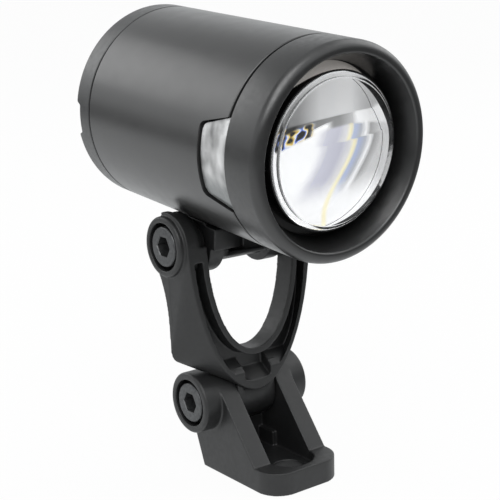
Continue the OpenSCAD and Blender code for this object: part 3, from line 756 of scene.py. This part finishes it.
def make_windows():
    """Curved cover plates in the two notches."""
    face = BODY_R - WINDOW_SINK
    back = TUBE_FRONT - WINDOW_LEN + WINDOW_GAP
    front = TUBE_FRONT - RUN_GAP
    rows, columns = 24, 40
    for side, name in SIDES:
        bm = bmesh.new()
        grids = []
        for r in (face, face - WINDOW_T):
            grid = []
            for i in range(rows + 1):
                s = back + (front - back) * i / rows
                share = (s - back) / (TUBE_FRONT - back)
                half = WINDOW_REAR + (WINDOW_FRONT - WINDOW_REAR) * share - WINDOW_GAP
                corner = max(0, 1 - (s - back) / WINDOW_CORNER)
                half -= WINDOW_CORNER * (1 - math.sqrt(1 - corner * corner))
                span = math.asin(half / face)
                angles = [span * (2 * j / columns - 1) for j in range(columns + 1)]
                grid.append([bm.verts.new((side * r * math.cos(a), r * math.sin(a), s)) for a in angles])
            grids.append(grid)
        for grid in grids:
            for i in range(rows):
                for j in range(columns):
                    bm.faces.new([grid[i][j], grid[i][j + 1], grid[i + 1][j + 1], grid[i + 1][j]])
        outer, inner = grids
        edge = [(0, j) for j in range(columns)] + [(i, columns) for i in range(rows)]
        edge += [(rows, j) for j in range(columns, 0, -1)] + [(i, 0) for i in range(rows, 0, -1)]
        for (i, j), (k, m) in zip(edge, edge[1:] + edge[:1]):
            bm.faces.new([outer[i][j], outer[k][m], inner[k][m], inner[i][j]])
        piece("window_" + name, from_bmesh(bm, OPTIC), "lamp", "window_clear", WINDOW, "side_window_" + name)


def make_lens():
    """Clear plug with a flange: crowned below a sloping step, hollowed a little above it, flat at the back."""
    plug = LENS_R - LENS_FLANGE
    flange = LENS_FRONT - LENS_SHOULDER
    count, rings = 360, 150
    angles = turns(count)
    bm = bmesh.new()

    def front(x, y):
        bulge = 1 - (x * x + y * y) / plug ** 2
        share = min(1, max(0, (y - LENS_STEP) / LENS_SLOPE))
        return LENS_FRONT + (LENS_CROWN + (LENS_UPPER - LENS_CROWN) * share) * bulge

    def ring(r, height=None):
        places = [(r * math.cos(a), r * math.sin(a)) for a in angles]
        return [bm.verts.new((x, y, front(x, y) if height is None else height)) for x, y in places]

    circles = [ring((plug - LENS_EDGE) * k / rings) for k in range(1, rings + 1)]
    circles += [ring(plug, LENS_FRONT - LENS_EDGE), ring(plug, flange), ring(LENS_R - LENS_EDGE, flange),
                ring(LENS_R, flange - LENS_EDGE), ring(LENS_R, LENS_BACK)]
    join(bm, circles)
    middle = bm.verts.new((0, 0, front(0, 0)))
    for k in range(count):
        bm.faces.new([middle, circles[0][k], circles[0][(k + 1) % count]])
    bm.faces.new(circles[-1])
    piece("lens_plug", from_bmesh(bm, OPTIC, LENS_SHARP_DEG), "lamp", "lens_clear", LENS, "projector_lens")


def make_lens_face():
    """Disc in the carrier's ledge, right behind the lens, painted with the light and shade seen through the
    lens.
    """
    r = LENS_R - RUN_GAP
    low, high = LENS_BACK - FACE_T, LENS_BACK - RUN_GAP
    disc = lathe(fillet([(0, low), (r, low), (r, high, THIN_EDGE), (0, high)]), 96)
    # Painted light and shade on a disc, in the slot it shares with the reflector mirror
    piece("lens_face", from_bmesh(disc, OPTIC), "lamp", "reflector_mirror", PAINTED_LENS_VIEW)


def make_lip():
    """Clear crescent above the lens, sloping down into the dish and running out at both ends."""
    bm = bmesh.new()
    steps = 64
    inner = LENS_R + COLLAR_T + COLLAR_GAP
    low = CARRIER_FRONT + LIP_GAP
    rows = []
    for k in range(steps + 1):
        a = LIP_FROM + (LIP_TO - LIP_FROM) * k / steps
        full = math.sin(math.pi * k / steps) ** 0.5 + 0.02
        outer = inner + (LIP_OUT - inner) * full
        corners = [(inner, low), (outer, low), (outer, low + LIP_BRIM * full), (inner, low + LIP_H * full)]
        rows.append([bm.verts.new((r * math.cos(a), r * math.sin(a), z)) for r, z in corners])
    join(bm, rows)
    bm.faces.new(rows[0])
    bm.faces.new(rows[-1][::-1])
    piece("lens_lip", from_bmesh(bm, OPTIC), "lamp", "lens_clear", LIP_PAINTED_GLOW)


def make_ears():
    """Two clear tabs beside the lens."""
    low, high = CARRIER_FRONT + RUN_GAP, CARRIER_FRONT + EAR_T
    bottom, top = EAR_UP - EAR_HALF, EAR_UP + EAR_HALF
    for side, name in SIDES:
        inner, outer = side * (LENS_R + COLLAR_T + COLLAR_GAP), side * (DISH_R - EAR_GAP)
        corners = [(inner, bottom), (outer, bottom, EAR_CORNER), (outer, top, EAR_CORNER), (inner, top)]
        bm = prism(fillet(corners if side > 0 else corners[::-1]), low, high)
        piece("lens_ear_" + name, from_bmesh(bm, OPTIC), "lamp", "lens_clear", LENS)


def make_reflector():
    """Bowl of even wall that opens forward as a parabola."""
    rings = 28
    spread = BORE_R - MIRROR_INSET - MIRROR_WALL - MIRROR_HOLE
    wall = []
    for k in range(rings + 1):
        part = (k / rings) ** 2
        wall.append((MIRROR_HOLE + spread * math.sqrt(part), MIRROR_BACK + (MIRROR_FRONT - MIRROR_BACK) * part))
    outside = [(r + MIRROR_WALL, s) for r, s in reversed(wall)]
    mesh = from_bmesh(lathe(wall + outside), OPTIC)
    piece("reflector_bowl", mesh, "lamp", "reflector_mirror", MIRROR, "reflector")


make_tube()
make_cap()
make_grommet()
make_bezel()
make_carrier()
make_windows()
make_lens()
make_lens_face()
make_lip()
make_ears()
make_reflector()


# Screws
def socket_screw(r, length, head, height, key, deep):
    """Cap screw along -Z with its head above the origin and a hex socket with a drilled end."""
    bm = bmesh.new()
    angles = turns(96)
    under, edge, bevel, sink, drill = 0.15 * MM, 0.45 * MM, 0.3 * MM, 0.2 * MM, 0.5 * MM
    outline = [(r, -length), (r, 0), (head - under, 0), (head, under), (head, height - edge)]
    steps = 5
    for k in range(1, steps + 1):
        turn = math.pi / 2 * k / steps
        outline.append((head - edge * (1 - math.cos(turn)), height - edge * (1 - math.sin(turn))))
    rings = [[bm.verts.new((q * math.cos(a), q * math.sin(a), z)) for a in angles] for q, z in outline]

    def hexagon(size, z):
        ring = []
        for a in angles:
            turn = (a + math.pi / 6) % (math.pi / 3) - math.pi / 6
            reach = size / 2 / math.cos(turn)
            ring.append(bm.verts.new((reach * math.cos(a), reach * math.sin(a), z)))
        return ring

    rings += [hexagon(key + bevel, height), hexagon(key, height - sink), hexagon(key, height - deep)]
    join(bm, rings)
    tip = bm.verts.new((0, 0, height - deep - drill))
    end = bm.verts.new((0, 0, -length))
    for k in range(len(angles)):
        n = (k + 1) % len(angles)
        bm.faces.new([rings[-1][k], rings[-1][n], tip])
        bm.faces.new([rings[0][n], rings[0][k], end])
    return bm


def pivot_screw(name, node, body, pivot, side):
    """Pivot screw whose head lies where the CAD screw's does."""
    low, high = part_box(node)
    seat = high.x - HEAD_H if side > 0 else low.x + HEAD_H
    length = high.x - low.x - HEAD_H
    place = Matrix.Translation((seat, pivot.y, pivot.z)) @ Matrix.Rotation(side * math.pi / 2, 4, "Y")
    mesh = from_bmesh(socket_screw(SCREW_R, length, HEAD_R, HEAD_H, KEY_W, KEY_DEEP), place)
    piece(name, mesh, body, "screw_steel", STEEL, node)


def make_cap_screws():
    """Both screws of the rear cap in one mesh."""
    bm = bmesh.new()
    for side, _ in SIDES:
        one = socket_screw(CAP_SCREW_R, CAP_SCREW_LEN, CAP_HEAD_R, CAP_HEAD_H, CAP_KEY_W, CAP_KEY_DEEP)
        place = Matrix.Translation((side * CAP_SCREW_X, 0, CAP_HEAD_SINK)) @ Matrix.Rotation(math.pi, 4, "X")
        bmesh.ops.transform(one, matrix=place, verts=one.verts)
        part = bpy.data.meshes.new("screw")
        one.to_mesh(part)
        one.free()
        bm.from_mesh(part)
        bpy.data.meshes.remove(part)
    piece("cap_screw_pair", from_bmesh(bm, OPTIC), "lamp", "screw_steel", STEEL, "cap_screws")


pivot_screw("lower_cap_screw", "lower_screw", "foot", pivots["lower_tilt"], -1)
pivot_screw("upper_cap_screw_left", "upper_screw_left", "lamp", pivots["upper_tilt"], -1)
pivot_screw("upper_cap_screw_right", "upper_screw_right", "lamp", pivots["upper_tilt"], 1)
make_cap_screws()

# CAD nodes that keep their shape
FINISHES = {
    "lower_nut": STEEL, "insert_left": BRASS, "insert_right": BRASS, "block_screws": STEEL,
    "cap_seal": RUBBER, "carrier_seal": RUBBER, "led_board": LED_WHITE, "led_emitter": PHOSPHOR,
    "heat_sink": SINK, "led_leads": WIRE, "driver_board": BOARD, "store_capacitor": SLEEVE,
    "choke": FERRITE, "terminal_block": TERMINAL,
}
for node, material in FINISHES.items():
    data = frame["nodes"][node].data
    data.materials.clear()
    data.materials.append(material)

# Studio. Gloss and glass see a tent, given from straight down (0) to straight up (1), all round and ahead.
TENT = ((0.0, 0.9), (0.46, 0.45), (0.5, 0.4), (0.54, 0.95), (0.75, 1.0), (0.82, 0.5), (0.88, 0.5), (1.0, 0.8))
TENT_AHEAD = ((0.58, 0.25), (0.7, 1.0))
AHEAD_FROM, AHEAD_TO = 0, -0.6
FILL = 0.8

# In gloss the floor has a bright pool, given by the distance from its centre
FLOOR_HALF = 6
FLOOR_DROP = 0.02 * MM
FLOOR_GREY = (0.86, 0.86, 0.86, 1)
FLOOR_GLOW = 0.95
POOL_CENTRE = (-0.14, 0.16, 0)
POOL = ((0.22, 0.95), (0.42, 0.22), (1.0, 0.22))

# Name, place, side and watts of each square light
LIGHTS = (
    ("key", (-0.5, -0.55, 0.85), 0.8, 5.5),
    ("back", (-0.25, 0.58, 0.42), 0.36, 0.5),
    ("right", (0.65, -0.05, 0.55), 0.6, 1.5),
)

# The photograph's view, in the row frame; sensor and focal length in millimetres
CAMERA_PLACE = Vector((-0.1491, -0.18461, 0.10484))
CAMERA_AHEAD = Vector((0.5897, 0.7754, -0.2258))
CAMERA_UP = Vector((0.1589, 0.1628, 0.9738))
CAMERA_SENSOR = 36
CAMERA_FOCUS = 86.4


def graded(tree, source, stops):
    """Faintly cool greys along a source from 0 to 1."""
    node = tree.nodes.new("ShaderNodeValToRGB")
    node.color_ramp.interpolation = "EASE"
    while len(node.color_ramp.elements) < len(stops):
        node.color_ramp.elements.new(0.5)
    for element, (at, value) in zip(node.color_ramp.elements, stops):
        element.position = at
        element.color = (value * 0.97, value * 0.99, value, 1)
    tree.links.new(source, node.inputs["Fac"])
    return node.outputs["Color"]


def either(tree, first, second):
    """The larger of two outputs."""
    node = tree.nodes.new("ShaderNodeMath")
    node.operation = "MAXIMUM"
    tree.links.new(first, node.inputs[0])
    tree.links.new(second, node.inputs[1])
    return node.outputs[0]


def rays(tree):
    """Shares of rays from the camera, and of rays from the camera, from gloss or through glass."""
    path = tree.nodes.new("ShaderNodeLightPath").outputs
    seen = either(tree, path["Is Camera Ray"], path["Is Glossy Ray"])
    return path["Is Camera Ray"], either(tree, seen, path["Is Transmission Ray"])


def make_world():
    """White to the camera. Gloss and glass see a tent, darker at its horizon, near its top and low ahead."""
    world = bpy.data.worlds.new("studio")
    world.use_nodes = True
    bpy.context.scene.world = world
    tree = world.node_tree
    way = tree.nodes.new("ShaderNodeSeparateXYZ")
    tree.links.new(tree.nodes.new("ShaderNodeTexCoord").outputs["Generated"], way.inputs[0])
    height = tree.nodes.new("ShaderNodeMapRange")
    height.inputs["From Min"].default_value = -1
    height.inputs["From Max"].default_value = 1
    tree.links.new(way.outputs["Z"], height.inputs["Value"])
    ahead = tree.nodes.new("ShaderNodeMapRange")
    ahead.interpolation_type = "SMOOTHSTEP"
    ahead.inputs["From Min"].default_value = AHEAD_FROM
    ahead.inputs["From Max"].default_value = AHEAD_TO
    tree.links.new(way.outputs["Y"], ahead.inputs["Value"])
    tent = graded(tree, height.outputs["Result"], TENT)
    front = graded(tree, height.outputs["Result"], TENT_AHEAD)
    tent = mixed(tree, "RGBA", ahead.outputs["Result"], tent, front)
    camera, seen = rays(tree)
    shade = tree.nodes["Background"]
    tree.links.new(mixed(tree, "RGBA", camera, tent, WHITE), shade.inputs["Color"])
    tree.links.new(mixed(tree, "FLOAT", seen, FILL, 1.0), shade.inputs["Strength"])


def make_floor():
    """Floor that is white to the camera but for the part's shadow, with a pool behind the lamp in gloss."""
    bm = bmesh.new()
    bmesh.ops.create_grid(bm, x_segments=8, y_segments=8, size=FLOOR_HALF)
    mesh = bpy.data.meshes.new("floor")
    bm.to_mesh(mesh)
    bm.free()
    floor = bpy.data.objects.new("floor", mesh)
    floor.location.z = -FLOOR_DROP
    bpy.context.scene.collection.objects.link(floor)
    material = bpy.data.materials.new("floor_white")
    material.use_nodes = True
    tree = material.node_tree
    shader = tree.nodes["Principled BSDF"]
    shader.inputs["Base Color"].default_value = FLOOR_GREY
    shader.inputs["Roughness"].default_value = 0.9
    far = tree.nodes.new("ShaderNodeVectorMath")
    far.operation = "DISTANCE"
    far.inputs[1].default_value = POOL_CENTRE
    tree.links.new(tree.nodes.new("ShaderNodeTexCoord").outputs["Object"], far.inputs[0])
    camera, seen = rays(tree)
    glow = tree.nodes.new("ShaderNodeEmission")
    pool = graded(tree, far.outputs["Value"], POOL)
    tree.links.new(mixed(tree, "RGBA", camera, pool, WHITE), glow.inputs["Color"])
    share = tree.nodes.new("ShaderNodeMath")
    share.operation = "MULTIPLY"
    share.inputs[1].default_value = FLOOR_GLOW
    mix = tree.nodes.new("ShaderNodeMixShader")
    tree.links.new(seen, share.inputs[0])
    tree.links.new(share.outputs[0], mix.inputs["Fac"])
    tree.links.new(shader.outputs[0], mix.inputs[1])
    tree.links.new(glow.outputs[0], mix.inputs[2])
    tree.links.new(mix.outputs[0], tree.nodes["Material Output"].inputs["Surface"])
    mesh.materials.append(material)


def make_light(name, place, side, watts):
    """Square light that points at the part's middle."""
    data = bpy.data.lights.new(name, "AREA")
    data.shape = "SQUARE"
    data.size = side
    data.energy = watts
    obj = bpy.data.objects.new(name, data)
    obj.location = place
    target = (cad_low + cad_high) / 2
    obj.rotation_euler = (target - Vector(place)).to_track_quat("-Z", "Y").to_euler()
    bpy.context.scene.collection.objects.link(obj)


def make_camera():
    """Camera at the photograph's view."""
    data = bpy.data.cameras.new("camera")
    data.sensor_width = CAMERA_SENSOR
    data.lens = CAMERA_FOCUS
    data.clip_start = 0.01
    obj = bpy.data.objects.new("camera", data)
    ahead = CAMERA_AHEAD.normalized()
    right = ahead.cross(CAMERA_UP).normalized()
    turn = Matrix((right, right.cross(ahead), -ahead)).transposed()
    obj.matrix_world = Matrix.Translation(CAMERA_PLACE) @ turn.to_4x4()
    bpy.context.scene.collection.objects.link(obj)
    bpy.context.scene.camera = obj


make_world()
make_floor()
for light in LIGHTS:
    make_light(*light)
make_camera()
bpy.context.scene.view_settings.view_transform = "Standard"
